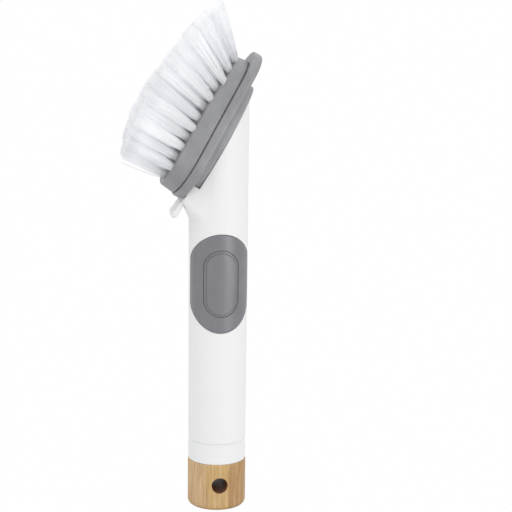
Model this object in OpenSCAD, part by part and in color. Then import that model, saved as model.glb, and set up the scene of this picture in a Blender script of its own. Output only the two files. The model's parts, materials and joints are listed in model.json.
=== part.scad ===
// Soap-dispensing dish wand: a white handle that holds the soap, a squeeze button that pumps it,
// a slanted end on which a brush head slides and latches, and a bamboo screw cap with a hang hole.
// +Z runs up the handle from the middle of the cap's flat base. The button faces -Y, the bristles -X.

/* [Handle] */
// Outer radius of the handle at its lower rim
handle_r_low = 15.65; // [15:0.05:17]
// Outer radius of the handle from the button upwards
handle_r_top = 15.95; // [15.6:0.05:17.4]
// Radius of the soap chamber inside the handle
bore_r = 13.6; // [12.8:0.1:13.8]
// Height of the handle's lower rim above the base
rim_z = 38; // [34:1:44]
// Height at which the handle's axis meets the slanted end
seat_z = 199.1; // [190:0.1:210]
// Angle between the handle's axis and the slanted end
seat_angle = 29.95; // [26:0.05:34]

/* [Button] */
// Height of the middle of the button
button_z = 127.9; // [118:0.1:136]
// Width of the grey oval round the pad, seen from the front
skin_w = 30.6; // [29:0.1:31]
// Height of the grey oval
skin_h = 54.2; // [46:0.1:60]
// How far the grey oval stands out of the handle
skin_proud = 0.35; // [0.2:0.05:0.8]
// Width of the pad that the thumb presses
pad_w = 18.4; // [16:0.1:20]
// Height of the pad
pad_h = 36.2; // [30:0.1:40]
// How far the pad stands out of the oval
pad_proud = 0.9; // [0.5:0.1:1.5]
// Travel of the pad
pad_travel = 2.5; // [1.5:0.1:2.8]

/* [Head] */
// Length of the head's carrier
carrier_len = 87.4; // [84:0.1:96]
// How far the carrier's heel lies from the handle's axis, along the slanted end
heel_u = -33.9; // [-36:0.1:-32]
// Half of the carrier's width near its heel
carrier_r = 22; // [20:0.5:24]
// Half of the carrier's width near its toe
toe_w = 14.5; // [14.5:0.5:19]
// Corner radius of the carrier's toe
toe_r = 14; // [8:0.5:14]
// Thickness of the shoe between handle and carrier
shoe_t = 4.2; // [3.6:0.1:4.6]
// Thickness of the carrier
carrier_t = 5.5; // [5:0.1:6.5]
// Width of the shadow groove between carrier and brush block
groove_t = 0.6; // [0.4:0.1:1]
// Height of the crown of the brush block above the slanted end
crown_v = 19.3; // [18:0.1:20]
// Length that the head slides before it lifts off
head_travel = 12; // [8:0.5:12]

/* [Bristles] */
// Columns of tufts along the head
columns = 13; // [11:1:13]
// Distance between two tufts in one column
row_pitch = 6.2; // [6:0.1:7]
// Radius of a tuft at its root
tuft_r = 1.75; // [1.5:0.05:1.9]
// Thickness of one strand, corner to centre
strand_r = 0.62; // [0.5:0.02:0.64]
// Height of the longest bristle tips above the slanted end
tip_v = 49.2; // [46:0.1:56]
// Lean of the last column towards the toe
toe_lean = 39.5; // [25:0.5:42]

/* [Cap] */
// Radius of the bamboo end
bamboo_r = 15.9; // [15.8:0.1:17]
// Height of the bamboo end
bamboo_h = 26.6; // [24:0.1:30]
// Radius of the bamboo's rounded lower edge
bamboo_edge = 3; // [1:0.5:4]
// Radius of the hang hole
hang_r = 4.25; // [3:0.05:5]
// Height of the hang hole's middle
hang_z = 14.6; // [12:0.1:15]
// Pitch of the cap's thread
thread_pitch = 3; // [2:0.5:4]

/* [Hidden] */
$fn = 96;
gap = 0.05;

white = [0.93, 0.93, 0.94];
grey = [0.56, 0.57, 0.59];
dark_grey = [0.44, 0.45, 0.47];
clear = [0.85, 0.88, 0.9];
nylon = [0.9, 0.91, 0.95];

// The slanted end has its own axes: u runs along it towards the toe, v stands on it.
module on_seat() translate([0, 0, seat_z]) rotate([0, seat_angle - 90, 0]) children();

// A place on the slanted end, in the axes of the handle.
function seat_point(u, y, v) = [
  u * sin(seat_angle) - v * cos(seat_angle), y,
  seat_z + u * cos(seat_angle) + v * sin(seat_angle)];

// A box given by its lowest and highest corners.
module block(low, high) translate(low) cube(high - low);

// A flat outline with straight sides and round ends, h high and w wide.
module stadium(w, h) {
  square([w, h - w], center = true);
  for (end = [-1, 1]) translate([0, end * (h - w) / 2]) circle(d = w);
}

// The same outline pushed through the handle from y = front to y = back, at the button's height.
module button_prism(w, h, front, back)
  translate([0, back, button_z]) rotate([90, 0, 0]) linear_extrude(back - front) stadium(w, h);

// A round bar from one point to another.
module bar(from, to, r) {
  d = to - from;
  translate(from) rotate([0, acos(d.z / norm(d)), atan2(d.y, d.x)]) cylinder(r = r, h = norm(d));
}

// The handle tapers slightly up to this height.
taper_top_z = 150;
// Heel walls of the shoe: of its two wings, and of the notch between them for the tongue's root
shoe_heel_u = -23;
shoe_notch_u = -19.6;
// Height of the handle's lip behind the shoe
lip_v = shoe_t - 0.2;
// Slot for the release tongue in the lip
slot_half_w = 7.4;
// Recess that the grey oval lies in
skin_floor_r = 14.7;
window_w = 24.4;
window_h = 43;

// Neck: from the first height to the second, the heel side is drawn out to the lip's two shoulders.
neck_z = [160.1, 171.5, 190];
neck_x = 20.4;
shoulder_y = 7.5;
shoulder_r = 3.5;
module neck() hull() {
  translate([0, 0, neck_z[0]]) cylinder(r = handle_r_top - 0.35, h = sliver);
  translate([0, 0, neck_z[1]]) {
    cylinder(r = handle_r_top - gap, h = neck_z[2] - neck_z[1]);
    for (side = [-1, 1]) translate([shoulder_r - neck_x, side * shoulder_y, 0])
      cylinder(r = shoulder_r, h = neck_z[2] - neck_z[1]);
  }
}

module barrel_blank() {
  rotate_extrude() polygon([
    [bore_r, rim_z], [handle_r_low - 0.4, rim_z], [handle_r_low, rim_z + 0.4],
    [handle_r_top, taper_top_z], [handle_r_top, seat_z + 40], [bore_r, seat_z + 40]]);
  difference() {
    neck();
    translate([0, 0, rim_z]) cylinder(r = bore_r, h = seat_z);
  }
}

module barrel() color(white) difference() {
  barrel_blank();
  // Slanted end, with the lip left standing behind the shoe
  on_seat() {
    block([shoe_heel_u - 0.2, -40, 0], [140, 40, 90]);
    block([-140, -40, lip_v], [0, 40, 90]);
    block([-60, -slot_half_w, 0], [shoe_heel_u, slot_half_w, 10]);
  }
  // Recess for the oval, and the window behind it
  difference() {
    button_prism(skin_w + 0.2, skin_h + 0.2, -30, 0);
    cylinder(r = skin_floor_r, h = 2 * seat_z);
  }
  button_prism(window_w, window_h, -30, 0);
}

// Rails under the shoe run in these slots, which widen at the toe so that the head lifts off.
rail_u = [-14, 3];
rail_y = [4.9, 6.5, 8.1];
rail_v = [-3.3, -1.75];
rail_gap = 0.3;
plate_t = 6;
tongue_pivot = [-21.65, 1.9];
spigot_top = seat_point(0, 0, -plate_t + 1);
tube_low = [0, -8.6, 153.5];
tube_dir = (spigot_top - tube_low) / norm(spigot_top - tube_low);

module rail_slots() for (side = [-1, 1]) scale([1, side, 1]) {
  block([rail_u[0] - rail_gap, rail_y[0] - rail_gap, rail_v[1] - 1],
    [rail_u[1], rail_y[1] + rail_gap, 1]);
  block([rail_u[0] - rail_gap, rail_y[0] - rail_gap, rail_v[0] - rail_gap],
    [rail_u[1], rail_y[2] + rail_gap, rail_v[1] + rail_gap]);
  block([rail_u[1] - 0.1, rail_y[0] - rail_gap, rail_v[0] - rail_gap],
    [rail_u[1] + head_travel + rail_gap, rail_y[2] + rail_gap, 1]);
}

module nozzle_plate() color(white) difference() {
  union() {
    intersection() {
      translate([0, 0, seat_z - 60]) cylinder(r = bore_r - gap, h = 120);
      on_seat() union() {
        block([-60, -20, -plate_t], [60, 20, -gap]);
        block([tongue_pivot.x - 1.8, -5.8, -1], [shoe_notch_u - 0.25, 5.8, tongue_pivot.y]);
      }
    }
    // Spigot for the delivery tube
    bar(spigot_top, spigot_top - 14 * tube_dir, 2.3);
  }
  on_seat() {
    rail_slots();
    translate([0, 0, -1.8]) cylinder(r = 4.1, h = 5);
    translate([0, 0, -plate_t + 0.5]) cylinder(r = 1.8, h = plate_t);
    translate([tongue_pivot.x, 0, tongue_pivot.y]) rotate([90, 0, 0])
      cylinder(r = 1.3, h = 20, center = true);
  }
  bar(spigot_top + 1 * tube_dir, spigot_top - 15 * tube_dir, 1.4);
}

// Silicone ring with a slit membrane, flush with the plate
module outlet_valve() color(clear) on_seat() difference() {
  union() {
    translate([0, 0, -1.8 + gap]) difference() {
      cylinder(r = 4.05, h = 1.8 - 2 * gap);
      translate([0, 0, -1]) cylinder(r = 2.2, h = 4);
    }
    translate([0, 0, -1.2]) cylinder(r = 2.3, h = 0.5);
  }
  for (turn = [0, 90]) rotate(turn) cube([2.6, 0.12, 9], center = true);
}

// Soft tube pushed over both spigots, cut slanting to lie along the plate
module delivery_tube() color(clear) difference() {
  bar(spigot_top, tube_low + 2 * tube_dir, 3.2);
  bar(spigot_top + 3 * tube_dir, tube_low, 2.35);
  on_seat() block([-60, -20, -plate_t - gap], [60, 20, 20]);
}

// Back of the pad, thickness of the plate behind it, and the pump chamber's floor behind both
pad_back = -10.2;
plunger_t = 1.4;
chamber_floor_t = 1.4;
chamber_floor = pad_back + plunger_t + pad_travel + 0.9;
inlet_z = 142.5;

module pump_chamber() color(white) difference() {
  union() {
    intersection() {
      button_prism(window_w - 0.4, window_h - 0.4, -30, chamber_floor + chamber_floor_t);
      translate([0, 0, button_z - 40]) cylinder(r = skin_floor_r - 0.1, h = 80);
    }
    // Outlet spigot
    bar(tube_low - 4.5 * tube_dir, tube_low + 7 * tube_dir, 2.3);
  }
  button_prism(window_w - 3, window_h - 3, -30, chamber_floor);
  bar(tube_low - 6 * tube_dir, tube_low + 9 * tube_dir, 1.4);
  // Inlet: a stem hole with four soap holes round it
  translate([0, 0, inlet_z]) rotate([90, 0, 0]) {
    cylinder(r = 1.2, h = 10);
    for (turn = [45:90:315]) rotate(turn) translate([2.7, 0, 0]) cylinder(r = 0.8, h = 10);
  }
}

// Umbrella valve: a disc on the chamber's side, a stem and a bulb behind
module inlet_valve() color(clear)
  translate([0, chamber_floor, inlet_z]) rotate([90, 0, 0]) rotate_extrude() polygon([
    [0, -3.8], [1.2, -3.2], [1.7, -2.2], [1.7, -1.5], [1.15, -1.45], [1.15, 0.05], [4.3, 0.05],
    [4.3, 0.3], [2, 0.55], [0, 0.55]]);

skin_r = handle_r_top + skin_proud;

// Grey oval moulded onto the handle, with the pad's window in it
module button_skin() color(grey) difference() {
  intersection() {
    button_prism(skin_w, skin_h, -30, 0);
    translate([0, 0, button_z - 40]) difference() {
      cylinder(r = skin_r, h = 80);
      translate([0, 0, -1]) cylinder(r = skin_floor_r + gap, h = 90);
    }
  }
  button_prism(pad_w + 0.7, pad_h + 0.7, -30, 0);
}

// Pad: a foot in the window and a smaller raised face
module button_pad() color(grey) {
  intersection() {
    button_prism(pad_w, pad_h, -30, pad_back);
    translate([0, 0, button_z - 40]) cylinder(r = skin_r, h = 80);
  }
  intersection() {
    button_prism(pad_w - 1.8, pad_h - 1.8, -30, pad_back);
    translate([0, 0, button_z - 40]) cylinder(r = skin_r + pad_proud, h = 80);
  }
}

// Stiff plate behind the pad, wider than the window so that the pad can't come out
module pad_plunger() color(white) difference() {
  button_prism(pad_w + 1.6, pad_h + 1.7, pad_back, pad_back + plunger_t);
  translate([0, pad_back + plunger_t, inlet_z]) rotate([90, 0, 0]) cylinder(r = 5, h = 1, center = true);
}

// Sprung tongue: bead at its root, nib that catches the carrier, tab outside for the thumb
nib_u = [-30.8, -28.2];
tab_u = [-34.6, -43.8];
module release_tongue() color(white) on_seat() rotate([90, 0, 0]) {
  linear_extrude(13.6, center = true) {
    polygon([[-20.8, 2.4], [-24.2, 2.4], [-25, 1.5], [-33.5, 1.6], [tab_u[0], 2.2], [-39.2, 2.3],
      [-42.3, 1.7], [-43.6, 2.5], [tab_u[1], 3.6], [-42.7, 4.6], [-39.2, 5.4], [tab_u[0], 5.4],
      [-34.4, 4], [nib_u[0], 4], [nib_u[0], 4.85], [nib_u[0] + 0.8, 4.85], [nib_u[1], 4],
      [-20.8, 3.2]]);
  }
  translate([tongue_pivot.x, tongue_pivot.y, 0]) cylinder(r = 1.2, h = 11.2, center = true);
}

// Plan of a head layer: a round heel, sides that close in, and a toe with two round corners.
function arc(centre, r, from, to, steps) = [for (i = [0:steps])
  centre + r * [cos(from + (to - from) * i / steps), sin(from + (to - from) * i / steps)]];
function plan(from, to, heel, corner, half_toe, inset = 0) =
  let (c1 = [from + heel, 0], c2 = [to - corner, half_toe - corner], d = c2 - c1,
    a = atan2(d.y, d.x) + acos((heel - corner) / norm(d)))
  concat(arc(c1, heel - inset, a, 360 - a, 24),
    arc([c2.x, -c2.y], corner - inset, -a, 0, 8),
    arc(c2, corner - inset, 0, a, 8));
function carrier_plan(inset = 0) =
  plan(heel_u, heel_u + carrier_len, carrier_r, toe_r, toe_w, inset);
function block_plan(inset = 0) =
  plan(heel_u + 0.9, heel_u + carrier_len - 6.2, carrier_r - 1, toe_r - 3, toe_w - 1, inset);

// A layer that starts at height v with a given thickness.
module layer(points, v, t) translate([0, 0, v]) linear_extrude(t) polygon(points);
sliver = 0.02;

// Shoe: an oval a little longer than the handle's slanted cut, square at its heel, with a notch there
shoe_centre = 1.9;
shoe_half = [35.1, 16];
function shoe_plan(inset = 0) = [for (i = [0:47])
  [shoe_centre + (shoe_half.x - inset) * cos(i * 7.5), (shoe_half.y - inset) * sin(i * 7.5)]];

module mount_shoe() color(dark_grey) on_seat() difference() {
  union() {
    intersection() {
      hull() {
        layer(shoe_plan(0.8), gap, sliver);
        layer(shoe_plan(), 1, shoe_t - 1);
      }
      difference() {
        block([shoe_heel_u, -30, 0], [60, 30, 10]);
        block([shoe_heel_u - 1, -slot_half_w, -1], [shoe_notch_u, slot_half_w, 11]);
      }
    }
    for (side = [-1, 1]) scale([1, side, 1]) {
      block([rail_u[0], rail_y[0], rail_v[1]], [rail_u[1], rail_y[1], 1]);
      block([rail_u[0], rail_y[0], rail_v[0]], [rail_u[1], rail_y[2], rail_v[1]]);
    }
  }
  translate([0, 0, -5]) cylinder(r = 3, h = 20);
}

carrier_v = shoe_t;
groove_v = carrier_v + carrier_t;
block_v = groove_v + groove_t;
pocket_v = carrier_v + 2.2;

module head_carrier() color(grey) on_seat() difference() {
  hull() {
    layer(carrier_plan(1.6), carrier_v, sliver);
    layer(carrier_plan(0.5), carrier_v + 0.6, sliver);
    layer(carrier_plan(), carrier_v + 1.6, carrier_t - 2);
    layer(carrier_plan(0.35), groove_v - sliver, sliver);
  }
  // Pocket for the block's plug
  layer(block_plan(1.6), pocket_v, 10);
  // Catch for the tongue's nib
  block([nib_u[0] - 0.4, -7.2, carrier_v - 1], [nib_u[1] + 0.4, 7.2, carrier_v + 1.2]);
  translate([0, 0, carrier_v - 1]) cylinder(r = 3, h = 10);
}

crown_u = -1.6;
crown_r = 480;
slice_t = 1.2;
// Play between the bristles' slice and the block under it
seam = 0.02;
function top_v(u) = crown_v - pow(u - crown_u, 2) / (2 * crown_r);

// Space under a crowned surface that lies drop below the top of the block
module under_crown(drop) translate([crown_u, 0, crown_v - crown_r]) rotate([90, 0, 0])
  cylinder(r = crown_r - drop, h = 60, center = true, $fn = 480);

port_r = 3;

module brush_block() color(grey) on_seat() difference() {
  union() {
    intersection() {
      hull() {
        layer(block_plan(), block_v, 1);
        layer(block_plan(1), crown_v, sliver);
      }
      under_crown(slice_t);
    }
    layer(block_plan(1.7), pocket_v + gap, block_v - pocket_v);
  }
  translate([0, 0, pocket_v - 1]) cylinder(r = port_r + gap, h = 20);
}

// Sleeve that leads the soap through the head
module soap_port() color(dark_grey) on_seat() difference() {
  union() {
    translate([0, 0, 0.4]) cylinder(r = port_r - gap, h = crown_v - 0.4);
    translate([0, 0, crown_v - 0.6]) cylinder(r1 = port_r, r2 = port_r - 0.5, h = 0.9);
  }
  translate([0, 0, -1]) cylinder(r = 1.7, h = 30);
  translate([0, 0, crown_v - 1.4]) cylinder(r = 2.3, h = 4);
}

// Slit silicone disc in the sleeve's mouth
module head_valve() color(clear) on_seat() translate([0, 0, crown_v - 1.35]) difference() {
  union() {
    cylinder(r = 2.25, h = 0.6);
    cylinder(r = 1.65, h = 1.2);
  }
  for (turn = [0, 90]) rotate(turn) cube([2.2, 0.12, 9], center = true);
}

// Tuft roots: staggered columns that keep clear of the block's edge and of the soap port
first_u = -25.5;
last_u = 44.2;
edge = 3.1;
function column_u(i) = first_u + (last_u - first_u) * i / (columns - 1);
function inside(p, r) = let (c = [heel_u + carrier_r - 0.1, 0], t = [last_u - 4, 8])
  norm(p - c) < r || (p.x > c.x && abs(p.y) < r - (r - 11.6) * (p.x - c.x) / (t.x - c.x));
tufts = [for (i = [0:columns - 1], k = [-3:3])
  let (y = (k + (i % 2 == 0 ? 0 : 0.5)) * row_pitch, p = [column_u(i), y])
  if (inside(p, carrier_r - 1 - edge) && norm(p) > port_r + tuft_r) p];

// Where a point at the root ends up at the tip: tufts lean to the toe and to the sides, and widen.
lean_start = -14;
function lean(u) = toe_lean * pow(max(0, (u - lean_start) / (last_u - lean_start)), 1.35);
function crest(u) = tip_v - pow(u - 8, 2) / (u < 8 ? 270 : 343);
function tip(root) = let (
    u = root.x + (crest(root.x) - top_v(root.x)) * tan(lean(root.x)) * 0.8,
    y = root.y * 1.12)
  [u, y, crest(u)];
function strand_root(t, k) = t + (k == 0 ? [0, 0] : (tuft_r - strand_r) * [cos(60 * k), sin(60 * k)]);
function strand_tip(t, k) = let (end = tip(t), spread = (strand_root(t, k) - t) * 2.1)
  [end.x + spread.x, end.y + spread.y, crest(end.x + spread.x) - (k % 3) * 0.5];

// Strands with three sides, as one polyhedron of separate closed shells
module strands(list) {
  n = len(list);
  corner = [for (j = [0:2]) [cos(120 * j), sin(120 * j)]];
  polyhedron(
    [for (s = list) each concat(
      [for (c = corner) [s[0].x + strand_r * c.x, s[0].y + strand_r * c.y, top_v(s[0].x) - 0.8]],
      [for (c = corner) [s[1].x + strand_r * c.x, s[1].y + strand_r * c.y, s[1].z]])],
    [for (i = [0:n - 1]) let (b = 6 * i) each concat(
      [[b, b + 1, b + 2], [b + 5, b + 4, b + 3]],
      [for (j = [0:2]) let (m = (j + 1) % 3) each
        [[b + j, b + 3 + j, b + m], [b + m, b + 3 + j, b + 3 + m]]])]);
}

// One stretch of the brush: its slice of the block's top with the strands fused into it.
// The resize leaves every size as it is and makes one mesh of the stretch.
stretch_columns = [[0, 2], [3, 6], [7, 9], [10, 12]];
function stretch_end(k) = k < 0 ? -60 : k > 2 ? 90
  : (column_u(stretch_columns[k][1]) + column_u(stretch_columns[k + 1][0])) / 2;
module stretch(k) color(nylon) on_seat() resize([0, 0, 0]) {
  difference() {
    intersection() {
      layer(block_plan(1.1), crown_v - 6, 10);
      under_crown(0);
      block([stretch_end(k - 1), -30, 0], [stretch_end(k), 30, 40]);
    }
    under_crown(slice_t - seam);
    cylinder(r = port_r + gap, h = 40, $fn = 24);
  }
  strands([for (t = tufts, j = [0:6])
    if (t.x > stretch_end(k - 1) && t.x < stretch_end(k)) [strand_root(t, j), strand_tip(t, j)]]);
}
module tufts_heel() stretch(0);
module tufts_rear() stretch(1);
module tufts_front() stretch(2);
module tufts_toe() stretch(3);

gasket_t = 0.5;
collar_top = rim_z - gasket_t;
spigot_r = bore_r - 0.3;
spigot_h = 3.5 * thread_pitch;

module cap_gasket() color(clear) translate([0, 0, collar_top]) difference() {
  cylinder(r = handle_r_low - 0.5, h = gasket_t - gap);
  translate([0, 0, -1]) cylinder(r = spigot_r + gap, h = 3);
}

// White collar: a ring that shows, a hollow plug in the handle's mouth and a stub in the bamboo
module cap_collar() color(white) rotate_extrude() polygon([
  [0, bamboo_h - 6.6], [8.6, bamboo_h - 6.6], [9, bamboo_h - 6.2], [9, bamboo_h],
  [handle_r_low - 0.2, bamboo_h], [handle_r_low, bamboo_h + 0.3], [handle_r_low, collar_top - 0.4],
  [handle_r_low - 0.4, collar_top], [spigot_r, collar_top], [spigot_r, collar_top + spigot_h - 0.8],
  [spigot_r - 0.8, collar_top + spigot_h], [spigot_r - 1.8, collar_top + spigot_h],
  [spigot_r - 1.8, bamboo_h + 2], [0, bamboo_h + 2]]);

module bamboo_end() color([0.8, 0.66, 0.42]) difference() {
  rotate_extrude() {
    square([bamboo_r - bamboo_edge, bamboo_h - gap]);
    translate([0, bamboo_edge]) square([bamboo_r, bamboo_h - gap - bamboo_edge]);
    intersection() {
      translate([bamboo_r - bamboo_edge, bamboo_edge]) circle(r = bamboo_edge);
      square([bamboo_r, bamboo_edge]);
    }
  }
  translate([0, 0, bamboo_h - 6.7]) cylinder(r = 9.1, h = 10);
  translate([0, 0, hang_z]) rotate([90, 0, 0]) cylinder(r = hang_r, h = 60, center = true);
}

barrel();
nozzle_plate();
outlet_valve();
delivery_tube();
pump_chamber();
inlet_valve();
button_skin();
button_pad();
pad_plunger();
release_tongue();
mount_shoe();
head_carrier();
brush_block();
soap_port();
head_valve();
tufts_heel();
tufts_rear();
tufts_front();
tufts_toe();
cap_gasket();
cap_collar();
bamboo_end();
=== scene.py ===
import json
import math
import random

import bpy
from mathutils import Matrix, Vector


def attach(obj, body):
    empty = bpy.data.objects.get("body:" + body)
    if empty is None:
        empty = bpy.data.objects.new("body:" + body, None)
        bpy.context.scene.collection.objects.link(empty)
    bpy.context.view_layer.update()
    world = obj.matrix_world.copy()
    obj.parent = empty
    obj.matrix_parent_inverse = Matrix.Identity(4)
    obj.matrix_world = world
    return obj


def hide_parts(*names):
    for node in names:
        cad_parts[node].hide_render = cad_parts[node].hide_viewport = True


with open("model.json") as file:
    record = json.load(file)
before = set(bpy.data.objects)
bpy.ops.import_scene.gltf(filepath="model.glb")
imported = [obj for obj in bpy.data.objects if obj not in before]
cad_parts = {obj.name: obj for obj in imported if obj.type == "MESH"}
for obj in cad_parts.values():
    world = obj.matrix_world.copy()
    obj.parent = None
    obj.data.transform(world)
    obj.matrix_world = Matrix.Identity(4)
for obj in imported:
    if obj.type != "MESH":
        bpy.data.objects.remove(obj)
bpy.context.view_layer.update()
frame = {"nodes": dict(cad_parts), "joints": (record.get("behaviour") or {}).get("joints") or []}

mm = 0.001


# The camera. The photograph looks at the front of the button from a little to the left and above,
# from about a metre away, and its picture leans a fraction of a degree.
view_turn = math.radians(-8)
view_tilt = math.radians(12.5)
view_roll = math.radians(-0.7)
view_distance = 1010 * mm
aim_across = 20.46 * mm
aim_height = 140.2 * mm
focal_px = 1870
picture_px = 512
sensor_mm = 36

across = Vector((math.cos(view_turn), math.sin(view_turn), 0))
backwards = Vector((math.sin(view_turn) * math.cos(view_tilt),
                    -math.cos(view_turn) * math.cos(view_tilt),
                    math.sin(view_tilt)))
upwards = backwards.cross(across)
rolled_across = across * math.cos(view_roll) - upwards * math.sin(view_roll)
rolled_upwards = across * math.sin(view_roll) + upwards * math.cos(view_roll)
eye = across * aim_across + Vector((0, 0, aim_height)) + backwards * view_distance

camera = bpy.data.objects.new("camera", bpy.data.cameras.new("camera"))
bpy.context.scene.collection.objects.link(camera)
camera.data.sensor_fit = "HORIZONTAL"
camera.data.sensor_width = sensor_mm
camera.data.lens = focal_px / picture_px * sensor_mm
turned = Matrix((rolled_across, rolled_upwards, backwards)).transposed().to_4x4()
camera.matrix_world = Matrix.Translation(eye) @ turned
bpy.context.scene.camera = camera
bpy.context.scene.view_settings.view_transform = "Standard"


# The studio: a wide pale floor, a white sky that is brightest overhead, a lamp low at the front right,
# whose sheen runs down the button, and a large soft one at the front left. The floor shows nearly white
# to the camera.
floor_size = 16
floor_colour = (0.7, 0.7, 0.7, 1)
floor_glow = 0.985
sky_level = 0.75
sky_overhead = 1.35
lamp_aim = Vector((0, 0, 0.15))
key_place = (0.53, -0.75, 0.07)
key_size = (0.48, 0.13)
key_power = 1.15
front_place = (-0.75, -1.0, 0.35)
front_size = (0.8, 0.8)
front_power = 0.84


def seen_directly(nodes):
    """A factor that is 1 where the camera sees the surface itself."""
    return nodes.new("ShaderNodeLightPath").outputs["Is Camera Ray"]


def lay_floor():
    bpy.ops.object.select_all(action="DESELECT")
    bpy.ops.mesh.primitive_plane_add(size=floor_size)
    floor = bpy.context.object
    floor.name = "floor"
    material = bpy.data.materials.new("floor")
    material.use_nodes = True
    nodes = material.node_tree.nodes
    links = material.node_tree.links
    nodes.clear()
    paper = nodes.new("ShaderNodeBsdfDiffuse")
    paper.inputs["Color"].default_value = floor_colour
    glow = nodes.new("ShaderNodeEmission")
    share = nodes.new("ShaderNodeMath")
    share.operation = "MULTIPLY"
    share.inputs[1].default_value = floor_glow
    links.new(seen_directly(nodes), share.inputs[0])
    mix = nodes.new("ShaderNodeMixShader")
    links.new(share.outputs[0], mix.inputs["Fac"])
    links.new(paper.outputs[0], mix.inputs[1])
    links.new(glow.outputs[0], mix.inputs[2])
    links.new(mix.outputs[0], nodes.new("ShaderNodeOutputMaterial").inputs["Surface"])
    floor.data.materials.append(material)


def light_sky():
    world = bpy.data.worlds.new("studio")
    bpy.context.scene.world = world
    world.use_nodes = True
    nodes = world.node_tree.nodes
    links = world.node_tree.links
    nodes.clear()
    even = nodes.new("ShaderNodeBackground")
    even.inputs["Color"].default_value = (1, 1, 1, 1)
    height = nodes.new("ShaderNodeSeparateXYZ")
    links.new(nodes.new("ShaderNodeTexCoord").outputs["Generated"], height.inputs[0])
    brightness = nodes.new("ShaderNodeMapRange")
    brightness.inputs["To Min"].default_value = sky_level
    brightness.inputs["To Max"].default_value = sky_overhead
    links.new(height.outputs["Z"], brightness.inputs["Value"])
    links.new(brightness.outputs[0], even.inputs["Strength"])
    white = nodes.new("ShaderNodeBackground")
    white.inputs["Color"].default_value = (1, 1, 1, 1)
    mix = nodes.new("ShaderNodeMixShader")
    links.new(seen_directly(nodes), mix.inputs["Fac"])
    links.new(even.outputs[0], mix.inputs[1])
    links.new(white.outputs[0], mix.inputs[2])
    links.new(mix.outputs[0], nodes.new("ShaderNodeOutputWorld").inputs["Surface"])


def hang_lamp(name, place, size, power):
    lamp = bpy.data.objects.new(name, bpy.data.lights.new(name, "AREA"))
    bpy.context.scene.collection.objects.link(lamp)
    lamp.data.shape = "RECTANGLE"
    lamp.data.size, lamp.data.size_y = size
    lamp.data.energy = power
    lamp.location = place
    towards = lamp_aim - Vector(place)
    lamp.rotation_euler = towards.to_track_quat("-Z", "Y").to_euler()


lay_floor()
light_sky()
hang_lamp("key_lamp", key_place, key_size, key_power)
hang_lamp("front_lamp", front_place, front_size, front_power)


# Barrel, plate, chamber and the pad's stiff back: white ABS, moulded smooth with a soft sheen.
# The plate and the chamber are welded into the barrel, and the plunger is glued behind the pad.
white_colour = (0.825, 0.825, 0.827, 1)
white_roughness = (0.42, 0.52)
white_specular = 0.42
sheen_patch = 9 * mm
peel_grain = 1.1 * mm
peel_height = 0.012 * mm
white_edge = 0.3 * mm


def new_finish(name, colour, roughness):
    """A material with one Principled shader. Returns it with its nodes, links, shader and place."""
    material = bpy.data.materials.new(name)
    material.use_nodes = True
    nodes = material.node_tree.nodes
    links = material.node_tree.links
    shader = nodes["Principled BSDF"]
    shader.inputs["Base Color"].default_value = colour
    shader.inputs["Roughness"].default_value = roughness
    place = nodes.new("ShaderNodeTexCoord").outputs["Object"]
    return material, nodes, links, shader, place


def speckle(nodes, links, place, size, stretch=(1, 1, 1), detail=3):
    """Noise whose grains are about as large as size, in metres, stretched by axis."""
    mapping = nodes.new("ShaderNodeMapping")
    mapping.inputs["Scale"].default_value = [1 / (size * s) for s in stretch]
    links.new(place, mapping.inputs["Vector"])
    noise = nodes.new("ShaderNodeTexNoise")
    noise.inputs["Scale"].default_value = 1
    noise.inputs["Detail"].default_value = detail
    links.new(mapping.outputs[0], noise.inputs["Vector"])
    return noise.outputs["Fac"]


def span(nodes, links, value, low, high, start=0.3, stop=0.7):
    """Maps a value between start and stop, as noise mostly is, to one between low and high."""
    ranged = nodes.new("ShaderNodeMapRange")
    ranged.inputs["From Min"].default_value = start
    ranged.inputs["From Max"].default_value = stop
    ranged.inputs["To Min"].default_value = low
    ranged.inputs["To Max"].default_value = high
    links.new(value, ranged.inputs["Value"])
    return ranged.outputs[0]


def relief(nodes, links, shader, height, depth, edge=0):
    """Bump of a given depth over edges that are rounded by a given radius."""
    bump = nodes.new("ShaderNodeBump")
    bump.inputs["Distance"].default_value = depth
    links.new(height, bump.inputs["Height"])
    if edge:
        rounded = nodes.new("ShaderNodeBevel")
        rounded.samples = 4
        rounded.inputs["Radius"].default_value = edge
        links.new(rounded.outputs[0], bump.inputs["Normal"])
    links.new(bump.outputs[0], shader.inputs["Normal"])


def make_white_plastic():
    material, nodes, links, shader, place = new_finish("white_plastic", white_colour, 0.47)
    shader.inputs["Specular IOR Level"].default_value = white_specular
    patches = speckle(nodes, links, place, sheen_patch)
    links.new(span(nodes, links, patches, *white_roughness), shader.inputs["Roughness"])
    peel = speckle(nodes, links, place, peel_grain, detail=1)
    relief(nodes, links, shader, peel, peel_height, white_edge)
    return material


def dress(material, *names):
    """Gives CAD nodes a material."""
    for name in names:
        mesh = frame["nodes"][name].data
        mesh.materials.clear()
        mesh.materials.append(material)


white_plastic = make_white_plastic()
dress(white_plastic, "barrel", "nozzle_plate", "pump_chamber", "pad_plunger")


# Valves and tube: milky silicone, moulded soft. The valves are pressed into their seats, and the tube
# is pushed over the spigots of the chamber and the plate.
silicone_colour = (0.83, 0.837, 0.84, 1)
silicone_roughness = 0.38
silicone_scatter = 0.35
scatter_depth = 1 * mm
silicone_ior = 1.41
silicone_grain = 0.8 * mm
silicone_bump = 0.01 * mm


def make_silicone():
    material, nodes, links, shader, place = new_finish("silicone", silicone_colour, silicone_roughness)
    shader.inputs["Subsurface Weight"].default_value = silicone_scatter
    shader.inputs["Subsurface Scale"].default_value = scatter_depth
    shader.inputs["IOR"].default_value = silicone_ior
    relief(nodes, links, shader, speckle(nodes, links, place, silicone_grain), silicone_bump)
    return material


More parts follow.
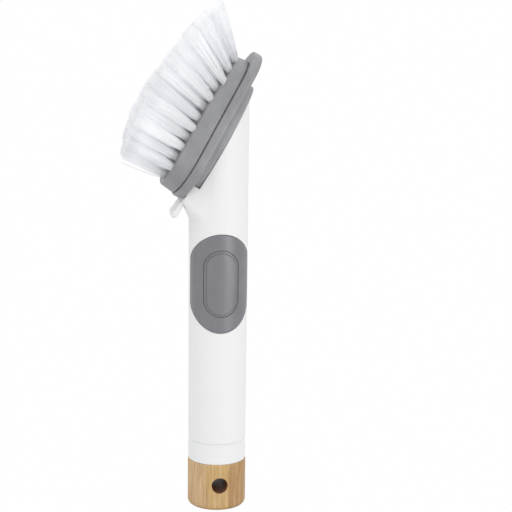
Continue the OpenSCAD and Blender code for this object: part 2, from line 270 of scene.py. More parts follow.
silicone = make_silicone()
dress(silicone, "outlet_valve", "delivery_tube", "inlet_valve", "head_valve")


# Button oval: grey soft-touch rubber, moulded onto the handle in a shallow recess. Its outer edge and
# the edge of the pad's window are rounded, and it stands a little out of the white wall.
handle_r = 15.95 * mm
button_z = 127.9 * mm
skin_size = (30.6 * mm, 54.2 * mm)
window_size = (18.76 * mm, 36.56 * mm)
skin_proud = 0.35 * mm
skin_thick = 1.3 * mm
skin_edge = 0.7 * mm
window_edge = 0.25 * mm
oval_points = 144
skin_cuts = 24
soft_colour = (0.163, 0.162, 0.179, 1)
soft_tones = (0.93, 1.08)
soft_specular = 1
soft_roughness = (0.3, 0.4)
soft_patch = 6 * mm
soft_grain = 0.35 * mm
soft_bump = 0.015 * mm


def only(piece):
    """Selects one piece alone."""
    bpy.ops.object.select_all(action="DESELECT")
    piece.select_set(True)
    bpy.context.view_layer.objects.active = piece


def pick(piece, kind, test):
    """Goes to edit mode with the edges or polygons selected that pass a test."""
    bpy.ops.object.mode_set(mode="OBJECT")
    only(piece)
    mesh = piece.data
    for elements in (mesh.vertices, mesh.edges, mesh.polygons):
        elements.foreach_set("select", [False] * len(elements))
    chosen = getattr(mesh, kind)
    chosen.foreach_set("select", [bool(test(e)) for e in chosen])
    bpy.context.tool_settings.mesh_select_mode = (False, kind == "edges", kind == "polygons")
    bpy.ops.object.mode_set(mode="EDIT")


def finish_mesh(piece, name, material, body, node, angle=35):
    """Merges doubles, turns the faces outwards, shades it smooth and hands it to its body."""
    bpy.ops.object.mode_set(mode="OBJECT")
    only(piece)
    bpy.ops.object.transform_apply(location=True, rotation=True, scale=True)
    bpy.ops.object.mode_set(mode="EDIT")
    bpy.ops.mesh.select_all(action="SELECT")
    bpy.ops.mesh.remove_doubles(threshold=0.002 * mm)
    bpy.ops.mesh.normals_make_consistent(inside=False)
    bpy.ops.object.mode_set(mode="OBJECT")
    bpy.ops.object.shade_smooth_by_angle(angle=math.radians(angle))
    piece.name = name
    piece.data.name = name
    piece.data.materials.clear()
    piece.data.materials.append(material)
    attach(piece, body)
    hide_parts(node)


def apply_modifiers(piece):
    bpy.ops.object.mode_set(mode="OBJECT")
    only(piece)
    for modifier in list(piece.modifiers):
        bpy.ops.object.modifier_apply(modifier=modifier.name)


def pull_apart(mesh, size, first):
    """Turns a circle as wide as the oval, from a given vertex on, into the oval."""
    straight = (size[1] - size[0]) / 2
    for vertex in mesh.vertices[first:first + oval_points]:
        if abs(vertex.co.y) > 1e-7:
            vertex.co.y += math.copysign(straight, vertex.co.y)


def oval_sheet(outer, inner, cuts):
    """A flat sheet between two ovals, with loops all the way round it."""
    bpy.ops.object.select_all(action="DESELECT")
    bpy.ops.mesh.primitive_circle_add(vertices=oval_points, radius=outer[0] / 2)
    sheet = bpy.context.object
    bpy.ops.object.mode_set(mode="EDIT")
    bpy.ops.mesh.primitive_circle_add(vertices=oval_points, radius=inner[0] / 2)
    bpy.ops.object.mode_set(mode="OBJECT")
    pull_apart(sheet.data, outer, 0)
    pull_apart(sheet.data, inner, oval_points)
    pick(sheet, "edges", lambda edge: True)
    bpy.ops.mesh.bridge_edge_loops(number_cuts=cuts, interpolation="LINEAR")
    bpy.ops.mesh.normals_make_consistent(inside=False)
    bpy.ops.object.mode_set(mode="OBJECT")
    if sheet.data.polygons[0].normal.z < 0:
        sheet.data.flip_normals()
    return sheet


def from_rim(x, y, size):
    """How far a point lies inside the rim of an oval."""
    straight = (size[1] - size[0]) / 2
    return size[0] / 2 - math.hypot(x, max(0, abs(y) - straight))


def rounding(distance, radius):
    """How far a rounded edge lies under the surface at a distance from the edge."""
    into = max(0, radius - max(0, distance))
    return radius - math.sqrt(radius * radius - into * into)


def skin_height(x, y):
    outer = rounding(from_rim(x, y, skin_size), skin_edge)
    inner = rounding(-from_rim(x, y, window_size), window_edge)
    return skin_proud - outer - inner


def wrap_on_handle(piece, height):
    """Lays a flat sheet on the handle, each point as high over the wall as height says."""
    for vertex in piece.data.vertices:
        x, y = vertex.co.x, vertex.co.y
        radius = handle_r + height(x, y)
        vertex.co = (x, -math.sqrt(radius * radius - x * x), button_z + y)


def toned(colour, share):
    """A colour whose light is a share of another's."""
    return (*(share * c for c in colour[:3]), 1)


def mixed(nodes, links, factor, first, second):
    """Two colours mixed, each a socket or a colour."""
    node = nodes.new("ShaderNodeMix")
    node.data_type = "RGBA"
    links.new(factor, node.inputs["Factor"])
    for socket, value in ((node.inputs["A"], first), (node.inputs["B"], second)):
        if isinstance(value, tuple):
            socket.default_value = value
        else:
            links.new(value, socket)
    return node.outputs["Result"]


def make_soft_touch():
    material, nodes, links, shader, place = new_finish("grey_soft_touch", soft_colour, 0.5)
    shader.inputs["Specular IOR Level"].default_value = soft_specular
    patches = span(nodes, links, speckle(nodes, links, place, soft_patch, (1, 1, 2.5)), 0.0, 1.0)
    dark, pale = (toned(soft_colour, share) for share in soft_tones)
    links.new(mixed(nodes, links, patches, dark, pale), shader.inputs["Base Color"])
    matte = speckle(nodes, links, place, soft_grain, detail=2)
    links.new(span(nodes, links, matte, *soft_roughness), shader.inputs["Roughness"])
    relief(nodes, links, shader, matte, soft_bump)
    return material


soft_touch = make_soft_touch()
skin = oval_sheet(skin_size, window_size, skin_cuts)
wrap_on_handle(skin, skin_height)
wall = skin.modifiers.new("wall", "SOLIDIFY")
wall.thickness = skin_thick
wall.offset = -1
apply_modifiers(skin)
finish_mesh(skin, "button_oval", soft_touch, "handle", "button_skin")


# Button pad: the same rubber, over a stiff plunger. Its foot lies a little under the oval, so that a
# groove runs round the pad, and a steep step leads up to the face that the thumb presses.
pad_size = (18.4 * mm, 36.2 * mm)
spine_size = (0.8 * mm, 18.6 * mm)
ledge_w = 1.1 * mm
ledge_h = 0.4 * mm
step_w = 0.5 * mm
step_h = 0.85 * mm
pad_depth = 4.5 * mm
pad_cuts = 88


def pad_height(x, y):
    inside = from_rim(x, y, pad_size)
    climb = min(1, max(0, (inside - ledge_w) / step_w))
    step = step_h * climb * climb * (3 - 2 * climb)
    return skin_proud - ledge_h + step


pad = oval_sheet(pad_size, spine_size, pad_cuts)
rim_vertices = set(range(oval_points))
spine_vertices = set(range(oval_points, 2 * oval_points))
wrap_on_handle(pad, pad_height)
pick(pad, "edges", lambda edge: set(edge.vertices) <= spine_vertices)
bpy.ops.mesh.edge_face_add()
pick(pad, "edges", lambda edge: set(edge.vertices) <= rim_vertices)
bpy.ops.mesh.extrude_region_move(TRANSFORM_OT_translate={"value": (0, pad_depth, 0)})
bpy.ops.mesh.edge_face_add()
finish_mesh(pad, "button_pad_cover", soft_touch, "button", "button_pad")


# Release tongue: white ABS strip, sprung at its root in the plate. Its nib catches the carrier, and
# its curled tab, round at the corners, stands out under the heel of the head. Its outline is in
# millimetres, along the slanted end towards the toe and off it.
slide = next(joint for joint in frame["joints"] if joint["name"] == "head_slide")
tongue_hinge = next(joint for joint in frame["joints"] if joint["name"] == "tongue_press")
hinge_u = -21.65 * mm
hinge_v = 1.9 * mm
along_seat = Vector(slide["axis"]).normalized()
off_seat = along_seat.cross(Vector((0, 1, 0)))
seat_centre = Vector(tongue_hinge["pos_m"]) - along_seat * hinge_u - off_seat * hinge_v
seat = Matrix.Translation(seat_centre) @ Matrix((along_seat, (0, 1, 0), off_seat)).transposed().to_4x4()
tongue_w = 13.6 * mm
tongue_outline = [
    (-20.8, 2.4), (-24.2, 2.4), (-25, 1.5), (-33.5, 1.6), (-34.6, 1.8), (-38.4, 1.9), (-41.4, 1.9),
    (-43.2, 2.2), (-44.1, 2.9), (-44.4, 3.8), (-44.1, 4.6), (-43.3, 5), (-42, 5.1), (-39.4, 4.6),
    (-34.6, 4.4), (-34.4, 4), (-30.8, 4), (-30.8, 4.85), (-30, 4.85), (-28.2, 4), (-20.8, 3.2)]
tab_end = min(u for u, v in tongue_outline) * mm
tab_corner = 2.8 * mm
plan_v = (-5 * mm, 10 * mm)
tongue_edge = 0.28 * mm
bead_r = 1.2 * mm
bead_w = 11.2 * mm


def add_bevel(piece, width, segments, angle=35):
    bevel = piece.modifiers.new("rounded", "BEVEL")
    bevel.width = width
    bevel.segments = segments
    bevel.limit_method = "ANGLE"
    bevel.angle_limit = math.radians(angle)


def boolean(piece, tool, operation):
    """Joins a tool to a piece, cuts it out or keeps what lies in both, and removes the tool."""
    cut = piece.modifiers.new("cut", "BOOLEAN")
    cut.operation = operation
    cut.solver = "EXACT"
    cut.object = tool
    apply_modifiers(piece)
    bpy.data.objects.remove(tool)


def extruded(outline, width):
    """An outline in the seat's u and v, in millimetres, as a solid of a given width across."""
    bpy.ops.object.select_all(action="DESELECT")
    bpy.ops.mesh.primitive_circle_add(vertices=len(outline), fill_type="NGON")
    solid = bpy.context.object
    for vertex, (u, v) in zip(solid.data.vertices, outline):
        vertex.co = (u * mm, -width / 2, v * mm)
    pick(solid, "polygons", lambda face: True)
    bpy.ops.mesh.extrude_region_move(TRANSFORM_OT_translate={"value": (0, width, 0)})
    bpy.ops.mesh.select_all(action="SELECT")
    bpy.ops.mesh.normals_make_consistent(inside=False)
    bpy.ops.object.mode_set(mode="OBJECT")
    return solid


def box_solid(low, high):
    """A plain block between two corners, for cutting and joining."""
    bpy.ops.object.select_all(action="DESELECT")
    low, high = Vector(low), Vector(high)
    bpy.ops.mesh.primitive_cube_add(size=1, location=(low + high) / 2, scale=high - low)
    bpy.ops.object.transform_apply(location=True, rotation=True, scale=True)
    return bpy.context.object


def stands_at_tab(edge):
    """Whether an edge of the plan block is one of the two upright ones at the tab's end."""
    first, second = (plan.data.vertices[v].co for v in edge.vertices)
    return max(first.x, second.x) < 0 and abs(first.y - second.y) < mm


tongue = extruded(tongue_outline, tongue_w)
plan = box_solid((tab_end, -tongue_w / 2, plan_v[0]), (0, tongue_w / 2, plan_v[1]))
pick(plan, "edges", stands_at_tab)
bpy.ops.mesh.bevel(offset=tab_corner, segments=10, affect="EDGES")
boolean(tongue, plan, "INTERSECT")
add_bevel(tongue, tongue_edge, 2)
apply_modifiers(tongue)
bpy.ops.mesh.primitive_cylinder_add(vertices=40, radius=bead_r, depth=bead_w,
                                    location=(hinge_u, 0, hinge_v), rotation=(math.pi / 2, 0, 0))
boolean(tongue, bpy.context.object, "UNION")
tongue.matrix_world = seat
finish_mesh(tongue, "release_tab", white_plastic, "tongue", "release_tongue")


# Shoe: satin grey polypropylene, an oval plate that slides along the handle's slanted end on two
# L-shaped rails. It is cut square at its heel, where it meets the white lip, and notched there round
# the tongue's root.
shoe_half = (35.1 * mm, 16 * mm)
shoe_centre = 1.9 * mm
shoe_heel = -23 * mm
shoe_lift = 0.03 * mm
shoe_top = 4.2 * mm
shoe_edge = 0.9 * mm
notch_end = -19.6 * mm
notch_half = 7.4 * mm
rail_u = (-14 * mm, 3 * mm)
rail_y = (4.9 * mm, 6.5 * mm, 8.1 * mm)
rail_v = (-3.3 * mm, -1.75 * mm)
rail_root = 1 * mm
soap_bore_r = 3 * mm
shoe_drill = 30 * mm
far_u = -60 * mm
far_y = 30 * mm
far_v = (-5 * mm, 15 * mm)
grey_colour = (0.238, 0.24, 0.254, 1)
# The shoe is the same grey, painted lighter to offset the shade that the carrier's overhang casts on it.
shoe_lightened_colour = (0.275, 0.277, 0.293, 1)
grey_tones = (0.88, 1.14)
grey_specular = 1
grey_roughness = (0.34, 0.46)
grey_patch = 6 * mm
grey_grain = 0.3 * mm
grey_bump = 0.015 * mm
grey_edge = 0.25 * mm


def make_grey_plastic(name, colour):
    material, nodes, links, shader, place = new_finish(name, colour, 0.48)
    shader.inputs["Specular IOR Level"].default_value = grey_specular
    clouds = span(nodes, links, speckle(nodes, links, place, grey_patch, (1, 1, 2), detail=4), 0.0, 1.0)
    dark, pale = (toned(colour, share) for share in grey_tones)
    links.new(mixed(nodes, links, clouds, dark, pale), shader.inputs["Base Color"])
    spark = speckle(nodes, links, place, grey_grain, detail=2)
    links.new(span(nodes, links, spark, *grey_roughness), shader.inputs["Roughness"])
    relief(nodes, links, shader, spark, grey_bump, grey_edge)
    return material


def bevel_rim(piece, height, width, segments):
    """Rounds the edges that lie at one height."""
    mesh = piece.data
    pick(piece, "edges", lambda edge: all(
        abs(mesh.vertices[v].co.z - height) < 0.001 * mm for v in edge.vertices))
    bpy.ops.mesh.bevel(offset=width, segments=segments, affect="EDGES")
    bpy.ops.object.mode_set(mode="OBJECT")


def drill(piece, radius, length):
    """Drills a round hole down through the middle of a layer of the head."""
    bpy.ops.mesh.primitive_cylinder_add(vertices=64, radius=radius, depth=length)
    boolean(piece, bpy.context.object, "DIFFERENCE")


bpy.ops.object.select_all(action="DESELECT")
bpy.ops.mesh.primitive_cylinder_add(vertices=144, radius=1, depth=shoe_top)
shoe = bpy.context.object
shoe.scale = (shoe_half[0], shoe_half[1], 1)
shoe.location = (shoe_centre, 0, shoe_top / 2 + shoe_lift)
bpy.ops.object.transform_apply(location=True, rotation=True, scale=True)
boolean(shoe, box_solid((far_u, -far_y, far_v[0]), (shoe_heel, far_y, far_v[1])), "DIFFERENCE")
boolean(shoe, box_solid((far_u, -notch_half, far_v[0]), (notch_end, notch_half, far_v[1])), "DIFFERENCE")
bevel_rim(shoe, shoe_lift, shoe_edge, 4)
for side in (-1, 1):
    stem = box_solid((rail_u[0], side * rail_y[0], rail_v[0]), (rail_u[1], side * rail_y[1], rail_root))
    boolean(shoe, stem, "UNION")
    foot = box_solid((rail_u[0], side * rail_y[0], rail_v[0]), (rail_u[1], side * rail_y[2], rail_v[1]))
    boolean(shoe, foot, "UNION")
drill(shoe, soap_bore_r, shoe_drill)
shoe.matrix_world = seat
shoe_plastic = make_grey_plastic("shoe_plastic", shoe_lightened_colour)
finish_mesh(shoe, "slide_shoe", shoe_plastic, "head", "mount_shoe")


# Carrier: the widest layer of the head, in the head's grey, which the shoe shares but is painted lighter to
# offset the shade under the carrier's overhang. Its heel is round, its sides close in towards a toe with two
# round corners, and its upper edge catches the light.
carrier_heel = -33.9 * mm
carrier_toe = 53.5 * mm
carrier_r = 22 * mm
toe_half = 14.5 * mm
toe_corner = 14 * mm
carrier_low = 4.2 * mm
carrier_high = 9.7 * mm
under_edge = 1.8 * mm
upper_edge = 0.8 * mm
catch_u = (-31.2 * mm, -27.8 * mm)
catch_half = 7.2 * mm
catch_depth = 1.2 * mm


def head_layer(low, high, heel, toe, heel_r, half_toe, corner, draft=0):
    """A layer of the head: three drums, at the heel and at the toe's corners, wrapped in one skin."""
    bpy.ops.object.select_all(action="DESELECT")
    drums = [((heel + heel_r, 0), heel_r),
             ((toe - corner, half_toe - corner), corner),
             ((toe - corner, corner - half_toe), corner)]
    layer = None
    for (u, y), radius in drums:
        bpy.ops.mesh.primitive_cone_add(vertices=120, radius1=radius, radius2=radius - draft,
                                        depth=high - low, location=(u, y, (low + high) / 2))
        if layer is None:
            layer = bpy.context.object
            bpy.ops.object.transform_apply(location=True, rotation=True, scale=True)
            bpy.ops.object.mode_set(mode="EDIT")
    bpy.ops.mesh.select_all(action="SELECT")
    bpy.ops.mesh.convex_hull()
    bpy.ops.mesh.select_all(action="SELECT")
    bpy.ops.mesh.dissolve_limited(angle_limit=math.radians(0.5))
    bpy.ops.object.mode_set(mode="OBJECT")
    return layer


grey_plastic = make_grey_plastic("grey_plastic", grey_colour)
carrier = head_layer(carrier_low, carrier_high, carrier_heel, carrier_toe, carrier_r, toe_half, toe_corner)
bevel_rim(carrier, carrier_low, under_edge, 6)
bevel_rim(carrier, carrier_high, upper_edge, 4)
catch = box_solid((catch_u[0], -catch_half, 0), (catch_u[1], catch_half, carrier_low + catch_depth))
boolean(carrier, catch, "DIFFERENCE")
carrier.matrix_world = seat
finish_mesh(carrier, "carrier_plate", grey_plastic, "head", "head_carrier")


# Brush block: the thick layer that the tufts are stapled into, pressed into the carrier by a plug. A
# shadow groove runs round its foot, its top edge is rounded, and its top is crowned along its length.
# The soap port, of the same grey, goes through it.
block_heel = carrier_heel + 0.9 * mm
block_toe = carrier_toe - 6.2 * mm
block_r = carrier_r - 1 * mm
block_half = toe_half - 1 * mm
block_corner = toe_corner - 3 * mm
block_low = 10.3 * mm
block_draft = 1 * mm
foot_edge = 0.3 * mm
top_edge = 1.3 * mm
crown_v = 19.3 * mm
crown_u = -1.6 * mm
crown_r = 480 * mm
crown_cuts = 24
plug_low = 6.4 * mm
plug_inset = 1.2 * mm
plug_joint = 1 * mm
port_bore_r = 3.05 * mm
block_drill = 60 * mm


def top_v(u):
    """Height of the block's crowned top at a place along the head."""
    return crown_v - (u - crown_u) ** 2 / (2 * crown_r)


brush_block = head_layer(block_low, crown_v, block_heel, block_toe, block_r, block_half, block_corner,
                         draft=block_draft)
bevel_rim(brush_block, crown_v, top_edge, 5)
bevel_rim(brush_block, block_low, foot_edge, 2)
for cut in range(1, crown_cuts):
    pick(brush_block, "polygons", lambda face: True)
    place_u = block_heel + (block_toe - block_heel) * cut / crown_cuts
    bpy.ops.mesh.bisect(plane_co=(place_u, 0, 0), plane_no=(1, 0, 0))
    bpy.ops.object.mode_set(mode="OBJECT")
for vertex in brush_block.data.vertices:
    share = (vertex.co.z - block_low) / (crown_v - block_low)
    vertex.co.z -= share * (crown_v - top_v(vertex.co.x))
plug = head_layer(plug_low, block_low + plug_joint, block_heel + plug_inset, block_toe - plug_inset,
                  block_r - plug_inset, block_half - plug_inset, block_corner - plug_inset)
boolean(brush_block, plug, "UNION")
drill(brush_block, port_bore_r, block_drill)
brush_block.matrix_world = seat
finish_mesh(brush_block, "tuft_block", grey_plastic, "head", "brush_block")
dress(grey_plastic, "soap_port")


# Bristles: bluish white nylon filament, folded into 58 tufts and stapled into the block in 13
# staggered columns. The tufts fan out to the toe and to the sides, and each widens until it meets the
# next, so that only the roots show gaps. Their tips are a little ragged. Plain sizes are millimetres.
columns = 13
first_u = -25.5
last_u = 44.2
row_pitch = 6.2
rows_each_side = 3
field_heel = (-12, 17.9)
field_toe = (last_u - 4, 11.6)
tuft_r = 1.75
root_r = 2.2
root_stray = 0.3
root_depth = 0.9
port_r = 3
crest_v = 49.2
crest_u = 8
crest_heel = 270
crest_toe = 343
toe_lean = 39.5
lean_start = -14
lean_growth = 1.35
lean_share = 0.8
side_lean = 1.12
filaments = 104
filament_r = 0.15
filament_taper = 0.2
widening = 0.7
tip_overlap = 0.6
tip_stray = 0.4
wild_stray = 1.7
wild_share = 0.05
tip_ragged = 0.6
tuft_lift = 0.6
bow_size = 0.25
tuft_tones = (0.78, 1.05)
tone_spread = 0.09
# Painted shade: the filaments at each tuft's sides along the head are darker, drawing dark lines between the
# tufts as seen from the front.
side_painted_shade = 1.1
# Painted shade: the tufts are darker towards the heel.
heel_painted_shade = 0.1
# Painted shade: the tips of the heel tufts are darker.
tip_painted_shade = 0.3
nylon_colour = (0.925, 0.93, 0.945)
# The dark end of the nylon's colour, reached both by random tone and by painted shade.
nylon_dark_and_shade = (0.5, 0.515, 0.56)
# Painted glow: the filaments give off light of their own, nylon_glow at the tips and root_glow of it at the
# roots, so the roots also get painted shade.
nylon_glow = 0.19
root_glow = 0.4
nylon_specular = 0.45
nylon_roughness = (0.36, 0.5)
nylon_patch = 2 * mm
stretches = {"bristles_heel": (0, 2, "tufts_heel"), "bristles_rear": (3, 6, "tufts_rear"),
             "bristles_front": (7, 9, "tufts_front"), "bristles_toe": (10, 12, "tufts_toe")}


def make_nylon():
    """Bluish white nylon that glows with painted light, weaker at the roots, and whose colour carries painted
    shade from each filament's tone, mixed with its own random tone.
    """
    material, nodes, links, shader, place = new_finish("bristle_nylon", (*nylon_colour, 1), 0.42)
    shader.inputs["Specular IOR Level"].default_value = nylon_specular
    # The emission is painted light, not a lamp.
    shader.inputs["Emission Color"].default_value = (*nylon_colour, 1)
    along = nodes.new("ShaderNodeAttribute")
    along.attribute_name = "along"
    glow = span(nodes, links, along.outputs["Fac"], root_glow * nylon_glow, nylon_glow, 0, 0.7)
    links.new(glow, shader.inputs["Emission Strength"])
    # Each filament's random tone, lowered by painted shade at the tufts' sides, at the heel and at the heel
    # tips.
    tone = nodes.new("ShaderNodeAttribute")
    tone.attribute_name = "tone"
    colour = mixed(nodes, links, tone.outputs["Fac"], (*nylon_dark_and_shade, 1), (*nylon_colour, 1))
    links.new(colour, shader.inputs["Base Color"])
    patches = speckle(nodes, links, place, nylon_patch)
    links.new(span(nodes, links, patches, *nylon_roughness), shader.inputs["Roughness"])
    return material


def column_u(column):
    return first_u + (last_u - first_u) * column / (columns - 1)


def on_block(u, y):
    """Whether a tuft fits there, clear of the block's edge and of the soap port."""
    heel_u, heel_r = field_heel
    toe_u, toe_r = field_toe
    side = heel_r - (heel_r - toe_r) * (u - heel_u) / (toe_u - heel_u)
    fits = math.hypot(u - heel_u, y) < heel_r or (u > heel_u and abs(y) < side)
    return fits and math.hypot(u, y) > port_r + tuft_r


def tuft_roots(column):
    shift = 0 if column % 2 == 0 else 0.5
    rows = [(k + shift) * row_pitch for k in range(-rows_each_side, rows_each_side + 1)]
    return [(column_u(column), y) for y in rows if on_block(column_u(column), y)]


def crest(u):
    """Height of the bristle tips over the slanted end."""
    return crest_v - (u - crest_u) ** 2 / (crest_heel if u < crest_u else crest_toe)


def tuft_tip(u, y):
    lean = toe_lean * max(0, (u - lean_start) / (last_u - lean_start)) ** lean_growth
    rise = crest(u) - top_v(u * mm) / mm
    return u + rise * math.tan(math.radians(lean)) * lean_share, y * side_lean


def one_filament():
    """A filament one unit long and one unit thick: a four-sided rod in four stretches."""
    bpy.ops.object.select_all(action="DESELECT")
    bpy.ops.mesh.primitive_circle_add(vertices=4, radius=1, fill_type="NGON")
    rod = bpy.context.object
    pick(rod, "polygons", lambda face: True)
    for _ in range(4):
        bpy.ops.mesh.extrude_region_move(TRANSFORM_OT_translate={"value": (0, 0, 0.25)})
    bpy.ops.mesh.select_all(action="SELECT")
    bpy.ops.mesh.normals_make_consistent(inside=False)
    bpy.ops.object.mode_set(mode="OBJECT")
    points = [tuple(vertex.co) for vertex in rod.data.vertices]
    faces = [list(face.vertices) for face in rod.data.polygons]
    bpy.data.objects.remove(rod)
    return points, faces


def grow_tuft(draw, root_u, root_y, rod_points):
    """All filaments of a tuft, each the same rod laid along its own slightly bowed line."""
    grown, tones_and_shade, heights = [], [], []
    end_u, end_y = tuft_tip(root_u, root_y)
    pitch = column_u(1) - column_u(0)
    tip_pitch = tuft_tip(root_u + pitch / 2, 0)[0] - tuft_tip(root_u - pitch / 2, 0)[0]
    tip_half = Vector((tip_pitch, row_pitch * side_lean)) * tip_overlap
    to_heel = (last_u - root_u) / (last_u - first_u)
    # Each tuft's random tone, with painted shade that grows towards the heel.
    tuft_tone_and_shade = draw.uniform(*tuft_tones) - heel_painted_shade * to_heel
    lift = draw.uniform(-tuft_lift, tuft_lift)
    for n in range(filaments):
        turn = n * math.pi * (3 - math.sqrt(5))
        ray = Vector((math.cos(turn), math.sin(turn))) * math.sqrt((n + 0.5) / filaments)
        stray = wild_stray if draw.random() < wild_share else tip_stray
        start = ray * (root_r - filament_r)
        end = Vector((ray.x * tip_half.x + draw.gauss(0, stray), ray.y * tip_half.y + draw.gauss(0, stray)))
        low = top_v(root_u * mm) / mm - root_depth
        high = crest(end_u + end.x) + lift - abs(draw.gauss(0, tip_ragged))
        bow = Vector((draw.gauss(0, bow_size), draw.gauss(0, bow_size)))
        spin = draw.uniform(0, math.pi / 2)
        own_tone_and_shade = tuft_tone_and_shade + draw.gauss(0, tone_spread)
        for x, y, s in rod_points:
            spread = start + (end - start) * s ** widening + bow * 4 * s * (1 - s)
            middle = Vector((root_u + (end_u - root_u) * s + spread.x,
                             root_y + (end_y - root_y) * s + spread.y,
                             low + (high - low) * s))
            thick = filament_r * (1 - filament_taper * s)
            rim = Vector((x * math.cos(spin) - y * math.sin(spin),
                          x * math.sin(spin) + y * math.cos(spin), 0)) * thick
            grown.append((middle + rim) * mm)
            # Painted shade: dark lines at the tufts' sides along the head, and darker tips on the heel tufts.
            painted_shade = side_painted_shade * ray.x ** 8 * (1 - 0.4 * s) + tip_painted_shade * to_heel * s ** 8
            tones_and_shade.append(min(1, max(0, own_tone_and_shade - painted_shade)))
            heights.append(s)
    return grown, tones_and_shade, heights


def grow_stretch(name, first, last, node, rod_points, rod_faces, material):
    """All tufts of some columns, as one piece that stands for a node."""
    draw = random.Random(name)
    points, tones_and_shade, heights, faces = [], [], [], []
    for column in range(first, last + 1):
        for root_u, root_y in tuft_roots(column):
            moved = (draw.uniform(-root_stray, root_stray), draw.uniform(-root_stray, root_stray))
            grown, grown_tones_and_shade, risen = grow_tuft(draw, root_u + moved[0], root_y + moved[1], rod_points)
            start = len(points)
            for n in range(filaments):
                step = start + n * len(rod_points)
                faces.extend([step + corner for corner in face] for face in rod_faces)
            points.extend(grown)
            tones_and_shade.extend(grown_tones_and_shade)
            heights.extend(risen)
    mesh = bpy.data.meshes.new(name)
    mesh.from_pydata([tuple(seat @ point) for point in points], [], faces)
    mesh.attributes.new("tone", "FLOAT", "POINT").data.foreach_set("value", tones_and_shade)
    mesh.attributes.new("along", "FLOAT", "POINT").data.foreach_set("value", heights)
    mesh.polygons.foreach_set("use_smooth", [True] * len(faces))
    mesh.materials.append(material)
    piece = bpy.data.objects.new(name, mesh)
    bpy.context.scene.collection.objects.link(piece)
    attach(piece, "head")
    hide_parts(node)


nylon = make_nylon()
rod_points, rod_faces = one_filament()
for name, (first, last, node) in stretches.items():
    grow_stretch(name, first, last, node, rod_points, rod_faces, nylon)


# Cap: a white ABS collar with a threaded plug, and a turned end of laminated bamboo glued onto its
# stub. The bamboo's lower edge is rounded, it is sanded and oiled, and a hang hole is drilled through.
bamboo_r = 15.9 * mm
bamboo_h = 26.55 * mm
bamboo_edge = 3 * mm
hang_r = 4.25 * mm
hang_z = 14.6 * mm
hang_cut = 60 * mm
socket_r = 9.1 * mm
socket_floor = 19.9 * mm
socket_cut = 20 * mm
bamboo_voxel = 0.36 * mm
strip_w = 6.1 * mm
strip_edge = 5.15 * mm
strip_waver = 0.25 * mm
waver_patch = 14 * mm
yellow_strip = -1.5
yellow_reach = 0.55
first_red_strip = -0.5
red_share = 0.7
blotch_patch = 7 * mm
blotch_share = 0.22
fibre_w = 0.75 * mm
fibre_stretch = 22
dark_share = 0.75
pale_w = 1.5 * mm
pale_stretch = 16
pale_share = 0.8
glue_share = 0.6
glue_w = 0.05
scorch_w = 0.35 * mm
fibre_depth = 0.05 * mm
bamboo_specular = 0.35
bamboo_roughness = (0.42, 0.6)
bamboo_tan = (0.6, 0.41, 0.22, 1)
bamboo_yellow = (0.58, 0.385, 0.16, 1)
bamboo_light = (0.74, 0.56, 0.34, 1)
bamboo_red = (0.37, 0.2, 0.075, 1)
# Dark brown of the hang hole: partly scorching, partly painted shade inside the hole.
scorch_and_shade = (0.2, 0.075, 0.03, 1)


def maths(nodes, links, operation, *values):
    """A Math node on values that are each a socket or a number."""
    node = nodes.new("ShaderNodeMath")
    node.operation = operation
    for socket, value in zip(node.inputs, values):
        if isinstance(value, (int, float)):
            socket.default_value = value
        else:
            links.new(value, socket)
    return node.outputs[0]


def make_bamboo():
    """Glued strips of different tones, with dark and pale fibres, and a dark brown hang hole whose wall and
    rim are partly scorched and partly painted shade.
    """
    material, nodes, links, shader, place = new_finish("bamboo", bamboo_tan, 0.5)
    shader.inputs["Specular IOR Level"].default_value = bamboo_specular
    split = nodes.new("ShaderNodeSeparateXYZ")
    links.new(place, split.inputs[0])
    beside = split.outputs["X"]
    waver = speckle(nodes, links, place, waver_patch, (1, 1, 3))
    wavered = maths(nodes, links, "ADD", beside, span(nodes, links, waver, -strip_waver, strip_waver))
    from_edge = maths(nodes, links, "SUBTRACT", wavered, strip_edge)
    strip = maths(nodes, links, "DIVIDE", from_edge, strip_w)
    number = maths(nodes, links, "FLOOR", strip)
    across_strip = maths(nodes, links, "FRACT", strip)
    yellow = maths(nodes, links, "COMPARE", number, yellow_strip, yellow_reach)
    colour = mixed(nodes, links, yellow, bamboo_tan, bamboo_yellow)
    is_red = maths(nodes, links, "GREATER_THAN", number, first_red_strip)
    red = maths(nodes, links, "MULTIPLY", is_red, red_share)
    colour = mixed(nodes, links, red, colour, bamboo_red)
    blotches = speckle(nodes, links, place, blotch_patch, (1, 1, 3))
    colour = mixed(nodes, links, span(nodes, links, blotches, 0, blotch_share, 0.5, 0.72), colour, bamboo_red)
    fibre = speckle(nodes, links, place, fibre_w, (1, 1, fibre_stretch), detail=4)
    colour = mixed(nodes, links, span(nodes, links, fibre, 0, dark_share, 0.5, 0.72), colour, bamboo_red)
    pale_fibre = speckle(nodes, links, place, pale_w, (1, 1, pale_stretch))
    pale = span(nodes, links, pale_fibre, 0, pale_share, 0.5, 0.75)
    colour = mixed(nodes, links, pale, colour, bamboo_light)
    to_next = maths(nodes, links, "SUBTRACT", 1, across_strip)
    from_joint = maths(nodes, links, "MINIMUM", across_strip, to_next)
    colour = mixed(nodes, links, span(nodes, links, from_joint, glue_share, 0, 0, glue_w), colour, bamboo_red)
    above = maths(nodes, links, "SUBTRACT", split.outputs["Z"], hang_z)
    squares = maths(nodes, links, "ADD", maths(nodes, links, "MULTIPLY", above, above),
                    maths(nodes, links, "MULTIPLY", beside, beside))
    from_axis = maths(nodes, links, "SQRT", squares)
    # The hole's wall and a thin rim round it: scorching and painted shade.
    burnt_and_shaded = span(nodes, links, from_axis, 1, 0, hang_r - 0.02 * mm, hang_r + scorch_w)
    links.new(mixed(nodes, links, burnt_and_shaded, colour, scorch_and_shade), shader.inputs["Base Color"])
    links.new(span(nodes, links, fibre, *bamboo_roughness), shader.inputs["Roughness"])
    relief(nodes, links, shader, fibre, fibre_depth)
    return material


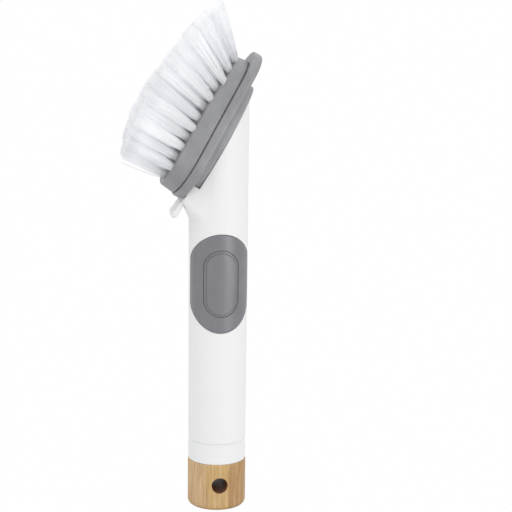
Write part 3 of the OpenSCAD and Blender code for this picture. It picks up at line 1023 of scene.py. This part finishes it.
bpy.ops.object.select_all(action="DESELECT")
bpy.ops.mesh.primitive_cylinder_add(vertices=144, radius=bamboo_r, depth=bamboo_h,
                                    location=(0, 0, bamboo_h / 2))
bamboo = bpy.context.object
bpy.ops.object.transform_apply(location=True, rotation=True, scale=True)
bevel_rim(bamboo, 0, bamboo_edge, 10)
bpy.ops.mesh.primitive_cylinder_add(vertices=96, radius=socket_r, depth=socket_cut,
                                    location=(0, 0, socket_floor + socket_cut / 2))
boolean(bamboo, bpy.context.object, "DIFFERENCE")
bpy.ops.mesh.primitive_cylinder_add(vertices=96, radius=hang_r, depth=hang_cut, location=(0, 0, hang_z),
                                    rotation=(math.pi / 2, 0, 0))
boolean(bamboo, bpy.context.object, "DIFFERENCE")
remesh = bamboo.modifiers.new("even", "REMESH")
remesh.mode = "VOXEL"
remesh.voxel_size = bamboo_voxel
sand = bamboo.modifiers.new("sanded", "SMOOTH")
sand.factor = 0.5
sand.iterations = 6
apply_modifiers(bamboo)
finish_mesh(bamboo, "bamboo_cap", make_bamboo(), "cap", "bamboo_end", angle=60)
dress(white_plastic, "cap_collar")


# Cap gasket: a ring of the same silicone as the valves, round the plug between the handle's rim and
# the collar. Screwed down, it bulges into a fine bead at the seam.
gasket_r = (13.35 * mm, 15.27 * mm)
gasket_z = (37.5 * mm, 37.97 * mm)
gasket_bead = 0.33 * mm
gasket_cut = 8 * mm

gasket_middle = (0, 0, sum(gasket_z) / 2)
bpy.ops.object.select_all(action="DESELECT")
bpy.ops.mesh.primitive_cylinder_add(vertices=120, radius=gasket_r[1], depth=gasket_z[1] - gasket_z[0],
                                    location=gasket_middle)
gasket = bpy.context.object
bpy.ops.mesh.primitive_cylinder_add(vertices=120, radius=gasket_r[0], depth=gasket_cut,
                                    location=(0, 0, gasket_z[0]))
boolean(gasket, bpy.context.object, "DIFFERENCE")
bpy.ops.mesh.primitive_torus_add(major_radius=gasket_r[1], minor_radius=gasket_bead,
                                 major_segments=120, minor_segments=16, location=gasket_middle)
boolean(gasket, bpy.context.object, "UNION")
finish_mesh(gasket, "gasket_ring", silicone, "cap_seal", "cap_gasket")
